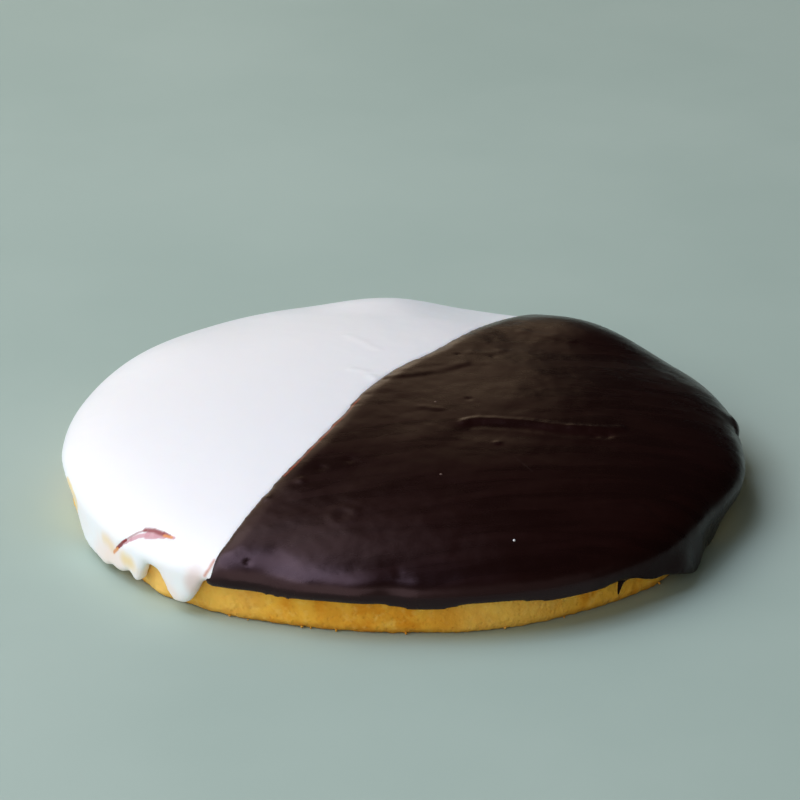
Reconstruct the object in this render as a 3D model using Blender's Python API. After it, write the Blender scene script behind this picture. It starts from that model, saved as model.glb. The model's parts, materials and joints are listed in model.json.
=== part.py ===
"""Black and white cookie: a domed disc of cake, iced half in white and half in chocolate.

Metres, +Z up. The origin is the centre of the flat underside. The line between the
two icings runs along Y, the white icing lies towards -X and the chocolate towards +X.
Bearings are in degrees in plan, from +X towards +Y.
"""
import math

import bmesh
import bpy
from mathutils import Vector, noise

MM = 0.001

# Overall form
RADIUS = 56.9 * MM
HEIGHT = 19.3 * MM
WAIST = 7.5 * MM
DOME_ROUND = 1.8
RIM_FADE = 12
ICING = 2.2 * MM
GAP = 0.3 * MM

# Cake below the icing
WALL_LEAN = 0.5 * MM
HEEL = 2.4 * MM
HEEL_INSET = 1.3 * MM
CRUMB_WAVE = 0.12 * MM
CRUMB_LENGTH = 6 * MM

# Lower edge of the icing
LIP_HEIGHT = 6.3 * MM
LIP_LOWEST = 0.7 * MM
LIP_ROUNDING = 6

# Line between the icings: its place, its bulge into the white and its drift at the back
BORDER_OFFSET = -3.2 * MM
BORDER_BULGE = 2.0 * MM
BULGE_AT = 1 * MM
BULGE_LENGTH = 11 * MM
BORDER_DRIFT = 0.8 * MM
DRIFT_AT = 27 * MM
DRIFT_LENGTH = 10 * MM

# Swells of the rim: bearing, half width in degrees, how far it stands out
RIM_SWELLS = (
    (146, 38, 2.3 * MM),
    (-146, 9, -0.9 * MM),
    (-122, 13, 0.6 * MM),
    (-101, 10, 0.8 * MM),
    (-66, 24, -2.1 * MM),
    (4, 12, -0.5 * MM),
    (32, 8, -0.5 * MM),
)

# Swells of the dome: where, how wide, how high
DOME_SWELLS = (
    (11, 48.5, 11.5, 2.1 * MM),
    (-9, 49, 10, -1.0 * MM),
    (-27, 42, 9, 1.0 * MM),
    (-50, 5, 11, 0.6 * MM),
)

# Runs of the white icing: bearing, half width in degrees, how far it hangs down,
# how far its foot bulges
WHITE_RUNS = (
    (-101.3, 3.3, 4.7 * MM, 0.5 * MM),
    (-121, 12.5, 4.9 * MM, -0.1 * MM),
    (-118.5, 6, 0.2 * MM, 1.0 * MM),
    (-168, 9, 1.9 * MM, 0.1 * MM),
    (158, 6, 3.1 * MM, 0.3 * MM),
    (128, 11, 1.6 * MM, 0),
)

# Runs of the chocolate icing
CHOCOLATE_RUNS = (
    (-83, 8, 0.5 * MM, 0),
    (-61, 5, 0.8 * MM, 0),
    (-33, 8, 1.3 * MM, 0.1 * MM),
    (-23.7, 1.3, 3.4 * MM, 0),
    (-15, 7, 2.0 * MM, 0.1 * MM),
    (-7.5, 6.5, 1.2 * MM, 2.5 * MM),
    (11, 19, 5.4 * MM, -0.6 * MM),
    (47, 7, 2.1 * MM, 0.2 * MM),
    (74, 5, 2.8 * MM, 0.3 * MM),
)

# Relief of the icing
CHOCOLATE_BEAD = 0.35 * MM
BEAD_WIDTH = 2.6 * MM
ICING_WAVE = 0.22 * MM
WAVE_LENGTH = 17 * MM

# Creases of the icing: their ends in millimetres, half width and rise
WHITE_CREASES = (
    ((-23.6, -53.0, 6.0), (-20.6, -53.6, 9.2), 0.8 * MM, -0.7 * MM),
    ((-20.6, -53.6, 9.2), (-17.4, -52.6, 11.0), 1.1 * MM, -0.9 * MM),
    ((-17.4, -52.6, 11.0), (-12.9, -53.1, 10.9), 1.0 * MM, -0.8 * MM),
)
CHOCOLATE_CREASES = (
    ((13, -6.8, 18.7), (36, 7.6, 16.3), 1.5 * MM, 0.5 * MM),
    ((15.5, -8.4, 18.4), (35, 4, 16.3), 1.6 * MM, -0.4 * MM),
    ((-3.6, 0.4, 19.5), (3.5, 13.2, 18.8), 1.2 * MM, -0.3 * MM),
    ((3, 34.5, 16.6), (12.5, 37, 15.8), 1.6 * MM, 0.25 * MM),
    ((17, -8.6, 18.3), (31, -14.4, 16.6), 1.1 * MM, -0.2 * MM),
)

# Fineness of the forms before they are thinned
SEGMENTS = 320
ICING_RINGS = 80
CAKE_RINGS = 44
ICING_KEPT = 0.13
CAKE_KEPT = 0.11

# Shares of the rings, from the top, at which a form's stretches end
CAKE_DOME_END = 0.5
CAKE_WALL_END = 0.85
ICING_DOME_END = 0.36
ICING_RELIEF_END = 0.45
ICING_LIP_END = 0.5
ICING_INSIDE_END = 0.64

# Block that cuts the icings apart
CUTTER_REACH = 1.4 * RADIUS
CUTTER_STEPS = 90


def hump(bearing, centre, half_width):
    """Height, 0 to 1, of a broad flat-topped hump round a bearing."""
    away = (bearing - centre + 180) % 360 - 180
    return math.exp(-(away / half_width) ** 4)


def swell(bearing, centre, half_width):
    """Height, 0 to 1, of a soft swell round a bearing."""
    away = (bearing - centre + 180) % 360 - 180
    return math.exp(-(away / half_width) ** 2)


def rim_radius(bearing):
    """Radius of the icing where it is widest."""
    stands_out = sum(rise * swell(bearing, at, wide) for at, wide, rise in RIM_SWELLS)
    return RADIUS + stands_out


def dome_height(bearing, reach, depth):
    """Height of the dome at a share of its radius, at a depth below the icing's top."""
    turn = math.radians(bearing)
    place = Vector((math.cos(turn), math.sin(turn))) * reach * RADIUS
    fade = 1 - reach ** RIM_FADE
    swells = 0
    for x, y, wide, rise in DOME_SWELLS:
        away = (place - Vector((x, y)) * MM).length / (wide * MM)
        swells += fade * rise * math.exp(-away ** 2)
    arch = math.sqrt(max(0.0, 1 - reach ** DOME_ROUND))
    return WAIST + (HEIGHT - depth - WAIST) * arch + swells


def wall_radius(bearing, height):
    """Radius of the cake's side."""
    lean = WALL_LEAN * (1 - height / WAIST)
    below = max(0.0, 1 - height / HEEL)
    heel = HEEL_INSET * (1 - math.sqrt(1 - below ** 2))
    turn = math.radians(bearing)
    around = Vector((RADIUS * math.cos(turn), RADIUS * math.sin(turn), height))
    wave = CRUMB_WAVE * noise.noise(around / CRUMB_LENGTH)
    return rim_radius(bearing) - ICING - lean - heel + wave


def border_x(y):
    """Where the line between the icings runs."""
    bulge = BORDER_BULGE * math.exp(-((y - BULGE_AT) / BULGE_LENGTH) ** 2)
    drift = BORDER_DRIFT * (1 + math.tanh((y - DRIFT_AT) / DRIFT_LENGTH))
    return BORDER_OFFSET - bulge + drift


def lip_height(bearing, runs):
    """Height of the icing's lower edge."""
    hangs = sum(drop * hump(bearing, at, wide) for at, wide, drop, foot in runs)
    return max(LIP_LOWEST, LIP_HEIGHT - hangs)


def foot_bulge(bearing, runs):
    """How far the icing bulges near its lower edge."""
    return sum(foot * hump(bearing, at, wide) for at, wide, drop, foot in runs)


def crease_relief(place, creases):
    """Rise and fall of the creases at a point of the surface."""
    relief = 0
    for start, end, half_width, rise in creases:
        first = Vector(start) * MM
        run = Vector(end) * MM - first
        share = max(0.0, min(1.0, (place - first).dot(run) / run.length_squared))
        away = (place - first - run * share).length / half_width
        relief += rise * math.exp(-away ** 2)
    return relief


def white_relief(place):
    """Soft waves of the white icing, and the tear over its front run."""
    wave = ICING_WAVE * noise.noise(place / WAVE_LENGTH)
    return wave + crease_relief(place, WHITE_CREASES)


def chocolate_relief(place):
    """Soft waves of the chocolate, its bead along the border and its folds."""
    wave = ICING_WAVE * noise.noise(place / WAVE_LENGTH + Vector((0, 0, 2)))
    bead = CHOCOLATE_BEAD * math.exp(-((place.x - border_x(place.y)) / BEAD_WIDTH) ** 2)
    return wave + bead + crease_relief(place, CHOCOLATE_CREASES)


def turned_form(name, rings, place, outside=0, relief=None):
    """A closed form of latitude rings, each point put in place by its bearing and share.

    The points up to the share called outside then move along their normal by the relief.
    """
    bm = bmesh.new()
    bmesh.ops.create_uvsphere(bm, u_segments=SEGMENTS, v_segments=rings, radius=1)
    shown = []
    for vert in bm.verts:
        bearing = math.degrees(math.atan2(vert.co.y, vert.co.x))
        share = math.acos(max(-1.0, min(1.0, vert.co.z))) / math.pi
        radius, height = place(bearing, share)
        turn = math.radians(bearing)
        vert.co = (radius * math.cos(turn), radius * math.sin(turn), height)
        if share < outside:
            shown.append(vert)
    bm.normal_update()
    for vert in shown:
        vert.co += vert.normal * relief(vert.co)
    mesh = bpy.data.meshes.new(name)
    bm.to_mesh(mesh)
    bm.free()
    return mesh


def cake_place(bearing, share):
    """Dome, then side, then flat underside, from the top's centre to the bottom's."""
    if share <= CAKE_DOME_END:
        reach = math.sin(share / CAKE_DOME_END * math.pi / 2)
        return reach * wall_radius(bearing, WAIST), dome_height(bearing, reach, ICING)
    if share <= CAKE_WALL_END:
        fall = (share - CAKE_DOME_END) / (CAKE_WALL_END - CAKE_DOME_END)
        height = max(0.0, WAIST * (1 - fall))
        return wall_radius(bearing, height), height
    return wall_radius(bearing, 0) * (1 - share) / (1 - CAKE_WALL_END), 0.0


def icing_place(runs):
    """Place of a point on an icing: the outside down to the lip, then back up inside."""
    def place(bearing, share):
        lip = lip_height(bearing, runs)
        if share <= ICING_DOME_END:
            reach = math.sin(share / ICING_DOME_END * math.pi / 2)
            return reach * rim_radius(bearing), dome_height(bearing, reach, 0)
        if share <= ICING_LIP_END:
            along = (share - ICING_DOME_END) / (ICING_LIP_END - ICING_DOME_END)
            fall = math.sin(along * math.pi / 2)
            height = WAIST + (lip - WAIST) * fall
            full = ICING - GAP + foot_bulge(bearing, runs) * fall
            stand = full * math.sqrt(max(0.0, 1 - fall ** LIP_ROUNDING))
            return wall_radius(bearing, height) + GAP + stand, height
        if share <= ICING_INSIDE_END:
            rise = (share - ICING_LIP_END) / (ICING_INSIDE_END - ICING_LIP_END)
            height = lip + (WAIST - lip) * rise
            return wall_radius(bearing, height) + GAP, height
        reach = math.sin((1 - share) / (1 - ICING_INSIDE_END) * math.pi / 2)
        inner = wall_radius(bearing, WAIST) + GAP
        return reach * inner, dome_height(bearing, reach, ICING - GAP)

    return place


def side_cutter(name, side):
    """Block that holds everything on one side of the line between the icings."""
    bm = bmesh.new()
    bmesh.ops.create_grid(bm, x_segments=1, y_segments=CUTTER_STEPS, size=CUTTER_REACH)
    for vert in bm.verts:
        if vert.co.x * side < 0:
            vert.co.x = border_x(vert.co.y) + side * GAP / 2
    raised = bmesh.ops.extrude_face_region(bm, geom=bm.faces[:])
    tops = [item for item in raised["geom"] if isinstance(item, bmesh.types.BMVert)]
    bmesh.ops.translate(bm, vec=(0, 0, 2 * HEIGHT), verts=tops)
    bmesh.ops.translate(bm, vec=(0, 0, -HEIGHT / 2), verts=bm.verts[:])
    bmesh.ops.recalc_face_normals(bm, faces=bm.faces[:])
    mesh = bpy.data.meshes.new(name)
    bm.to_mesh(mesh)
    bm.free()
    cutter = bpy.data.objects.new(name, mesh)
    cutter.hide_render = True
    cutter.display_type = "WIRE"
    cutters.objects.link(cutter)
    return cutter


def thin(obj, kept):
    """Fewer faces where the form is plain."""
    modifier = obj.modifiers.new("thin", "DECIMATE")
    modifier.ratio = kept
    modifier.use_collapse_triangulate = True


def part(name, mesh, material):
    """A named piece of the cookie, shaded smooth."""
    mesh.materials.append(material)
    mesh.shade_smooth()
    obj = bpy.data.objects.new(name, mesh)
    pieces.objects.link(obj)
    return obj


def icing(name, runs, relief, side, material):
    """One icing: the whole shell, cut along the border."""
    mesh = turned_form(name, ICING_RINGS, icing_place(runs), ICING_RELIEF_END, relief)
    obj = part(name, mesh, material)
    thin(obj, ICING_KEPT)
    cut = obj.modifiers.new("border", "BOOLEAN")
    cut.operation = "INTERSECT"
    cut.solver = "EXACT"
    cut.object = side_cutter(f"{name}_side", side)
    return obj


def food_material(name, colour, roughness):
    """Plain glossy or matt food surface."""
    material = bpy.data.materials.new(name)
    material.use_nodes = True
    shader = material.node_tree.nodes["Principled BSDF"]
    shader.inputs["Base Color"].default_value = (*colour, 1)
    shader.inputs["Roughness"].default_value = roughness
    shader.inputs["Metallic"].default_value = 0
    return material


for old in list(bpy.data.objects):
    bpy.data.objects.remove(old)

pieces = bpy.data.collections.new("black_and_white_cookie")
cutters = bpy.data.collections.new("cutters")
bpy.context.scene.collection.children.link(pieces)
bpy.context.scene.collection.children.link(cutters)

golden_cake = food_material("golden_cake", (0.62, 0.34, 0.08), 0.85)
white_sugar = food_material("white_sugar_icing", (0.88, 0.88, 0.9), 0.35)
dark_chocolate = food_material("dark_chocolate_icing", (0.028, 0.01, 0.007), 0.25)

cake = part("cake", turned_form("cake", CAKE_RINGS, cake_place), golden_cake)
thin(cake, CAKE_KEPT)
icing("white_icing", WHITE_RUNS, white_relief, -1, white_sugar)
icing("chocolate_icing", CHOCOLATE_RUNS, chocolate_relief, 1, dark_chocolate)
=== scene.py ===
"""Black and white cookie: the looks of its cake and its two icings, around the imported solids.

Metres, +Z up. The origin is the centre of the flat underside. The line between the two
icings runs along Y, the white icing lies towards -X and the chocolate towards +X.
Bearings are in degrees in plan, from +X towards +Y.
"""

import json
import math
import random

import bpy
import numpy as np
from mathutils import Euler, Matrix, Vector

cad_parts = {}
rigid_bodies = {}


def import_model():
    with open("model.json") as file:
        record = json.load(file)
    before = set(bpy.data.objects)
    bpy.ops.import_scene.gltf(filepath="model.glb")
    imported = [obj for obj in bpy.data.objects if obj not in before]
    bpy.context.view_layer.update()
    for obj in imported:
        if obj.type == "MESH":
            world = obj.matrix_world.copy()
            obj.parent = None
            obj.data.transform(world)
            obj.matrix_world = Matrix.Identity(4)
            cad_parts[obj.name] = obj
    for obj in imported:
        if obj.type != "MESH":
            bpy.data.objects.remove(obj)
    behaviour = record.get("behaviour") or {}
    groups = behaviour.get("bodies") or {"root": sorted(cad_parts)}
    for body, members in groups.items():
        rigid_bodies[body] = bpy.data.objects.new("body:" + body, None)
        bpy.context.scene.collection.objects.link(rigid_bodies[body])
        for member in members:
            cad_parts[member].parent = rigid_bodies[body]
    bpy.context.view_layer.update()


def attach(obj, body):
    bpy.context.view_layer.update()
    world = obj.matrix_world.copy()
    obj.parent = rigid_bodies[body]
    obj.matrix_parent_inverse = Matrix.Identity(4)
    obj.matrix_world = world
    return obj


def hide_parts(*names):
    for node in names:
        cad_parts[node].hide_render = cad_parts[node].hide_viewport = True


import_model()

MM = 0.001

# A gap too small to matter, for cuts and comparisons
HAIR = 0.01 * MM

# Overall form: the dome above its widest place, the waist, and the lip of the icings below it
RADIUS = 56.9 * MM
HEIGHT = 19.1 * MM
WAIST = 7.5 * MM
LIP_HEIGHT = 6.1 * MM
LIP_LOWEST = 0.8 * MM
LIP_TUCK = 0.5 * MM
SKIN = 2.3 * MM
SEGMENTS = 384
RINGS = 128

# How much lower than a half ellipsoid the dome runs, round a band at a share of its radius
FLATTEN = 0.3 * MM
FLATTEN_AT = 0.8
FLATTEN_REACH = 26 * MM
FLATTEN_BAND = 0.02

# Reach of a swell, in its half widths: at one half width, about a third of it is left
SOFT = 1.67

# Swells of the rim: bearing, half width in degrees, how far it stands out
RIM_SWELLS = (
    (151, 41, 2.3 * MM),
    (-129, 12, -0.5 * MM),
    (-99, 10, 0.6 * MM),
    (-66, 24, -2.1 * MM),
    (2, 10, -1.3 * MM),
    (32, 8, -0.5 * MM),
    (68, 10, -0.9 * MM),
)

# Swells of the dome: place in mm in plan, half width, how high
DOME_SWELLS = (
    (11, 47, 11.5 * MM, 2.0 * MM),
    (-9, 47, 10 * MM, -0.9 * MM),
    (-27, 42, 9 * MM, 1.0 * MM),
    (-50, 5, 11 * MM, 0.6 * MM),
)

# Runs of the icings: bearing, half width in degrees, how far it hangs, how far its foot bulges
RUNS = (
    (-99.2, 3.8, 4.2 * MM, 0.4 * MM),
    (-124, 9.5, 4.9 * MM, 0.4 * MM),
    (-117.2, 3.6, 0.6 * MM, 0.2 * MM),
    (-112.8, 4.4, 2.8 * MM, 0.3 * MM),
    (-109.4, 2.0, 2.4 * MM, 0.2 * MM),
    (-85, 8, 0.3 * MM, 0),
    (-62, 3, 0.4 * MM, 0),
    (-168, 9, 1.9 * MM, 0.1 * MM),
    (158, 6, 3.1 * MM, 0.3 * MM),
    (128, 11, 1.6 * MM, 0),
    (-57, 5, 0.8 * MM, 0),
    (-33, 9, 0.9 * MM, 0.1 * MM),
    (-15, 7, 2.0 * MM, 1.0 * MM),
    (-7.5, 6, 1.2 * MM, 1.3 * MM),
    (-1.5, 8, 5.0 * MM, -0.3 * MM),
    (8, 8, 2.4 * MM, -0.5 * MM),
    (23, 8, 3.0 * MM, -0.4 * MM),
    (47, 7, 2.1 * MM, 0.2 * MM),
    (74, 5, 2.8 * MM, 0.3 * MM),
)

# Places where the lip is drawn up: bearing, half width in degrees, rise
LIFTS = ((-94.2, 1.8, 1.2 * MM), (-143.5, 6, 0.8 * MM))

# A run or lift is whole within the first share of its half width, and ends the second share beyond
RUN_CORE = 0.35
RUN_REACH = 1.13

# Thin drip of the chocolate: bearing, its upper and lower end, and its half width at each
DRIP = (-23.7, 7.0 * MM, 2.3 * MM, 1.0 * MM, 0.4 * MM)

# How far in from the rim the drip hangs, and how far its upper end reaches along the lip
DRIP_INSET = 2.0 * MM
DRIP_FILLET = 1.6 * MM

# Line between the icings: where it is cut, how near the cut a point counts as its edge, and its
# pushes: how far, from where to where along Y, reach
BORDER_X = -3.4 * MM
BORDER_EDGE = 0.05 * MM
BORDER_PUSHES = (
    (-2.0 * MM, 0, 2 * MM, 11 * MM),
    (-0.2 * MM, 36 * MM, 60 * MM, 14 * MM),
    (-0.4 * MM, -16 * MM, -10 * MM, 8 * MM),
)

# How far the white reaches under the chocolate, and how high and wide the chocolate's edge stands
WHITE_UNDERLAP = 1.1 * MM
BEAD = 0.45 * MM
BEAD_WIDTH = 7 * MM

# Rolled edge of the chocolate along the border: its width and how far it falls
ROLL_WIDTH = 2.8 * MM
ROLL_FALL = 0.32 * MM

# Corner of the chocolate at the foot of the border: its place in mm, its push and reach
CORNER = (-3.2, -56, 7.5)
CORNER_PUSH = (-1.3 * MM, -0.1 * MM, -0.5 * MM)
CORNER_REACH = 5 * MM

# Fold of the chocolate: the stops of its line, in mm in plan
FOLD = (
    (14.3, -8.5), (14.8, -7.0), (15.6, -5.4), (17.0, -4.4), (18.7, -3.4), (21.2, -2.0), (24.0, -0.5),
    (27.0, 0.7), (29.9, 2.3), (32.5, 4.2), (34.0, 5.5), (36.0, 8.0),
)

# Its crests: first and last stop, reach, rise
FOLD_CRESTS = (
    (1, None, 1.4 * MM, 0.24 * MM),
    (-4, -1, 1.2 * MM, 0.16 * MM),
)

# The hollows beside it: how far each lies from its line, in mm in plan, reach, rise
FOLD_HOLLOWS = (
    (0.8, -1.4, 1.8 * MM, -0.13 * MM),
    (1.7, -3.1, 4.0 * MM, -0.12 * MM),
    (3.2, -5.8, 8.5 * MM, -0.19 * MM),
)

# Waves of the chocolate's outer wall: place in mm, reach, how far it stands out
WALL_WAVES = (
    (5.0, -55.0, 8.6, 7.5 * MM, -0.9 * MM),
    (20.0, -50.0, 10.0, 7.0 * MM, 0.35 * MM),
    (24.0, -49.3, 7.6, 5.0 * MM, -0.35 * MM),
    (47.6, 30.2, 8.4, 1.8 * MM, -0.6 * MM),
    (45.2, 33.6, 8.1, 4.6 * MM, 0.6 * MM),
)

# Half width of a crease's core
CREASE_CORE = 0.25 * MM

# Other creases of the chocolate: stops in mm in plan, reach, rise
CHOCOLATE_CREASES = (
    (((-3.4, 0.3), (-0.7, 2.4), (3.0, 7.1), (5.1, 13.1), (7.4, 14.8)), 1.2 * MM, -0.02 * MM),
    (((-3.8, 1.8), (-1.6, 4.2), (2.0, 8.6), (3.9, 14.0)), 1.4 * MM, 0.07 * MM),
    (((6.0, -5.6), (7.6, -5.1), (9.4, -4.9)), 1.1 * MM, 0.06 * MM),
    (((4.5, 34.7), (7.9, 34.9), (11.1, 35.4), (13.3, 35.6)), 1.6 * MM, 0.08 * MM),
    (((2.6, 18.9), (4.9, 20.0), (6.4, 23.1)), 1.2 * MM, 0.07 * MM),
    (((38, 3), (42, -6), (44, -14)), 5 * MM, 0.1 * MM),
    (((48.0, -10.1), (49.9, -9.6), (51.7, -10.3)), 1.2 * MM, -0.1 * MM),
    (((33, 47), (40, 41), (46, 33.5), (49, 28)), 1.6 * MM, 0.3 * MM),
)

# Pits and bumps of the chocolate: place in mm in plan, reach, rise
CHOCOLATE_SPOTS = (
    (11.7, 1.0, 1.0 * MM, -0.12 * MM),
    (1.3, 16.8, 0.8 * MM, -0.1 * MM),
    (6.7, 19.5, 0.8 * MM, -0.1 * MM),
    (-3.9, 0.8, 1.1 * MM, -0.15 * MM),
    (-2.3, -41.2, 1.4 * MM, 0.14 * MM),
    (0.7, -35.0, 1.4 * MM, 0.14 * MM),
    (1.8, -30.9, 1.4 * MM, -0.1 * MM),
    (5.0, -26.6, 1.5 * MM, -0.12 * MM),
    (1.7, -53.6, 1.0 * MM, -0.2 * MM),
    (24.2, -46.2, 1.3 * MM, -0.07 * MM),
    (22.3, -9.7, 0.8 * MM, 0.2 * MM),
    (33.9, 2.6, 1.0 * MM, -0.15 * MM),
    (35.7, 4.5, 1.0 * MM, -0.15 * MM),
)

# Ring left by a bubble in the chocolate: its middle and radius in mm, reach, rise
BUBBLE = (10.9, -39.8, 1.9, 1.3 * MM, 0.05 * MM)

# Tear in the white icing over its front run: the stops of its middle line in mm, and below, half its
# width at each stop in mm, the bearing and height that it faces, how deep it is and its reach
TEAR = (
    (-24.3, -50.9, 5.0),
    (-22.9, -51.9, 6.6),
    (-21.4, -52.6, 8.0),
    (-20.4, -52.7, 8.9),
    (-19.0, -52.5, 9.7),
    (-17.3, -52.4, 10.3),
    (-15.8, -52.5, 10.7),
    (-14.2, -52.6, 10.9),
    (-12.4, -52.8, 11.1),
)
TEAR_WIDTH = (0.1, 0.25, 0.4, 0.5, 0.55, 0.75, 0.8, 0.5, 0.1)
TEAR_FACES = (-108.6, 28)
TEAR_DEPTH = 0.3 * MM
TEAR_REACH = 0.6 * MM

# Creases and bumps of the white icing: stops in mm in plan, reach, rise
WHITE_CREASES = (
    (((-20.1, 16.8), (-12.0, 12.4)), 1.3 * MM, 0.06 * MM),
    (((-11.2, 2.3), (-8.5, 2.2)), 1.3 * MM, 0.1 * MM),
    (((-6.8, 1.2), (-5.6, 0.4)), 1.2 * MM, 0.12 * MM),
)

# Fineness of the icings' surfaces, and how far the border's and the lip's second smoothing reach
VOXEL = 0.42 * MM
SMOOTH_TURNS = 8
BORDER_BAND = 5 * MM
LIP_BAND = 7 * MM

# Cake: its lower edge, the heel, is rounded, and its wall leans out above it
CAKE_RADIUS = RADIUS - 2.2 * MM
CAKE_SEGMENTS = 960
WALL_ROWS = 16
WALL_LEAN = 0.5 * MM
HEEL = 2.4 * MM
HEEL_INSET = 1.3 * MM
HEEL_ROWS = 10
BOTTOM_ROWS = 14
TOP_ROWS = 8
CAKE_RISE = HEIGHT - 2.6 * MM - WAIST

# Swells of the cake's foot: bearing, half width in degrees, how far it stands out
FOOT_SWELLS = ((-28, 13, -1.0 * MM), (-106, 3, 0.5 * MM), (-143, 7, 1.2 * MM))

# Reliefs of the cake: pattern, size of its grain, depth, and the level of it that stays in place
SIDE_RELIEF = (
    ("CLOUDS", 6 * MM, 0.3 * MM, 0.5),
    ("CLOUDS", 1.6 * MM, 0.3 * MM, 0.5),
    ("STUCCI", 0.8 * MM, 0.2 * MM, 0.6),
)
UNDERSIDE_RELIEF = ("STUCCI", 1.2 * MM, 0.25 * MM, 0.5)

# Crumbs at the cake's foot: their bearings, least and largest size, and the heights of the foot
CRUMB_SEED = 7
CRUMB_BEARINGS = (-92, -88.6, -79, -77.5, -73, -61, -44, -33, -12, 20, 51, 83, 96, 139, 161)
CRUMB_SIZES = (0.16 * MM, 0.34 * MM)
CRUMB_HEIGHTS = (0.2 * MM, 0.7 * MM)

# Specks of dried icing on the chocolate: place in mm in plan, radius
SPECKS = ((36.6, -31.5, 0.24 * MM),)

# Camera: how far off, how high and how far round it stands, and at which pixel it sees which place
DISTANCE = 600 * MM
ELEVATION = math.radians(25)
AZIMUTH = math.radians(28.7)
AIM = Vector((0, 0, 6.5 * MM))
AIM_PIXEL = (404, 455)
PICTURE = 800
FOCAL_PIXELS = 3594
SENSOR = 36


def use(obj):
    """Makes an object the only selected one, and the active one."""
    bpy.ops.object.select_all(action="DESELECT")
    obj.select_set(True)
    bpy.context.view_layer.objects.active = obj


def places(obj):
    """Places of an object's points, one row each."""
    flat = np.empty(3 * len(obj.data.vertices), np.float32)
    obj.data.vertices.foreach_get("co", flat)
    return flat.reshape(-1, 3)


def done():
    """Leaves edit mode."""
    bpy.ops.object.mode_set(mode="OBJECT")


def edit(obj, wanted=None, shown=None, kind="VERT"):
    """Enters edit mode with the wanted points, or all, selected; hides those that aren't shown."""
    use(obj)
    bpy.ops.object.mode_set(mode="EDIT")
    bpy.ops.mesh.select_mode(type="VERT")
    if shown is not None:
        mark(obj, shown)
        bpy.ops.mesh.hide(unselected=True)
    if wanted is None:
        bpy.ops.mesh.select_all(action="SELECT")
    else:
        mark(obj, wanted)
    if kind != "VERT":
        bpy.ops.mesh.select_mode(type=kind)


def mark(obj, wanted):
    """In edit mode, selects only the wanted points."""
    bpy.ops.mesh.select_all(action="DESELECT")
    bpy.ops.object.mode_set(mode="OBJECT")
    obj.data.vertices.foreach_set("select", wanted)
    bpy.ops.object.mode_set(mode="EDIT")


def move(obj, wanted, step, reach, shown=None):
    """Moves the wanted points, and softly those within reach of them that are shown."""
    edit(obj, wanted, shown)
    bpy.ops.transform.translate(
        value=step,
        use_proportional_edit=True,
        proportional_edit_falloff="SMOOTH",
        proportional_size=reach,
    )
    if shown is not None:
        bpy.ops.mesh.reveal(select=False)
    done()


def apply_modifier(obj, kind, **settings):
    """Adds a modifier with these settings and applies it."""
    use(obj)
    modifier = obj.modifiers.new(kind.lower(), kind)
    for name, value in settings.items():
        setattr(modifier, name, value)
    bpy.ops.object.modifier_apply(modifier=modifier.name)


def copy_of(obj, name):
    """A copy of an object with a mesh of its own."""
    twin = obj.copy()
    twin.data = obj.data.copy()
    twin.name = name
    twin.data.name = name
    bpy.context.scene.collection.objects.link(twin)
    return twin


def least(away):
    """Which of the distances is the least."""
    return away <= away.min() + 1e-7


def nearest(obj, place):
    """The point of an object nearest to a place."""
    return least(np.linalg.norm(places(obj) - np.array(place), axis=1))


def away_in_plan(at, x, y):
    """How far each place lies in plan from one given in mm."""
    return np.hypot(at[:, 0] - x * MM, at[:, 1] - y * MM)


def on_line(at, stops, reach):
    """Which of the places lie within reach of the line through the stops."""
    found = np.zeros(len(at), bool)
    for start, end in zip(stops, stops[1:]):
        start = np.array(start)
        run = np.array(end) - start
        share = np.clip((at - start) @ run / (run @ run), 0, 1)
        found |= np.linalg.norm(at - start - share[:, None] * run, axis=1) <= reach
    return found


def outer(obj):
    """The points of a skin's outer side."""
    flat = np.empty(3 * len(obj.data.vertices), np.float32)
    obj.data.vertices.foreach_get("normal", flat)
    return (flat.reshape(-1, 3) * places(obj)).sum(axis=1) > 0


def crease(obj, stops, reach, rise):
    """Raises or sinks the top along a line through stops given in plan."""
    at = places(obj)
    flat = np.column_stack([at[:, :2], np.zeros(len(at))])
    wanted = outer(obj) & (at[:, 2] > LIP_HEIGHT)
    line = [(x * MM, y * MM, 0) for x, y in stops]
    move(obj, wanted & on_line(flat, line, CREASE_CORE), (0, 0, rise), reach)


def spot(obj, x, y, reach, rise):
    """Raises or sinks the top round one point."""
    away = away_in_plan(places(obj), x, y)
    away[~outer(obj)] = 1
    move(obj, least(away), (0, 0, rise), reach)


def towards(obj, bearing, half_width):
    """The points whose bearing is within half_width degrees of one."""
    at = places(obj)
    bearings = np.degrees(np.arctan2(at[:, 1], at[:, 0]))
    return np.abs((bearings - bearing + 180) % 360 - 180) <= half_width


def outward(bearing, length, height=0.0):
    """The place at a bearing, a length in plan and a height."""
    turn = math.radians(bearing)
    return (length * math.cos(turn), length * math.sin(turn), height)


def facing(bearing, height):
    """A direction of length 1, from its bearing and its height in degrees."""
    turn = math.radians(bearing)
    rise = math.radians(height)
    return Vector((math.cos(turn) * math.cos(rise), math.sin(turn) * math.cos(rise), math.sin(rise)))


def arc(degrees):
    """Length of an angle along the rim."""
    return math.radians(degrees) * RADIUS


def swell_rim(obj, height):
    """Pushes the rim in and out."""
    for bearing, half_width, stands_out in RIM_SWELLS:
        core = nearest(obj, outward(bearing, RADIUS, height))
        move(obj, core, outward(bearing, stands_out), SOFT * arc(half_width))


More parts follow.
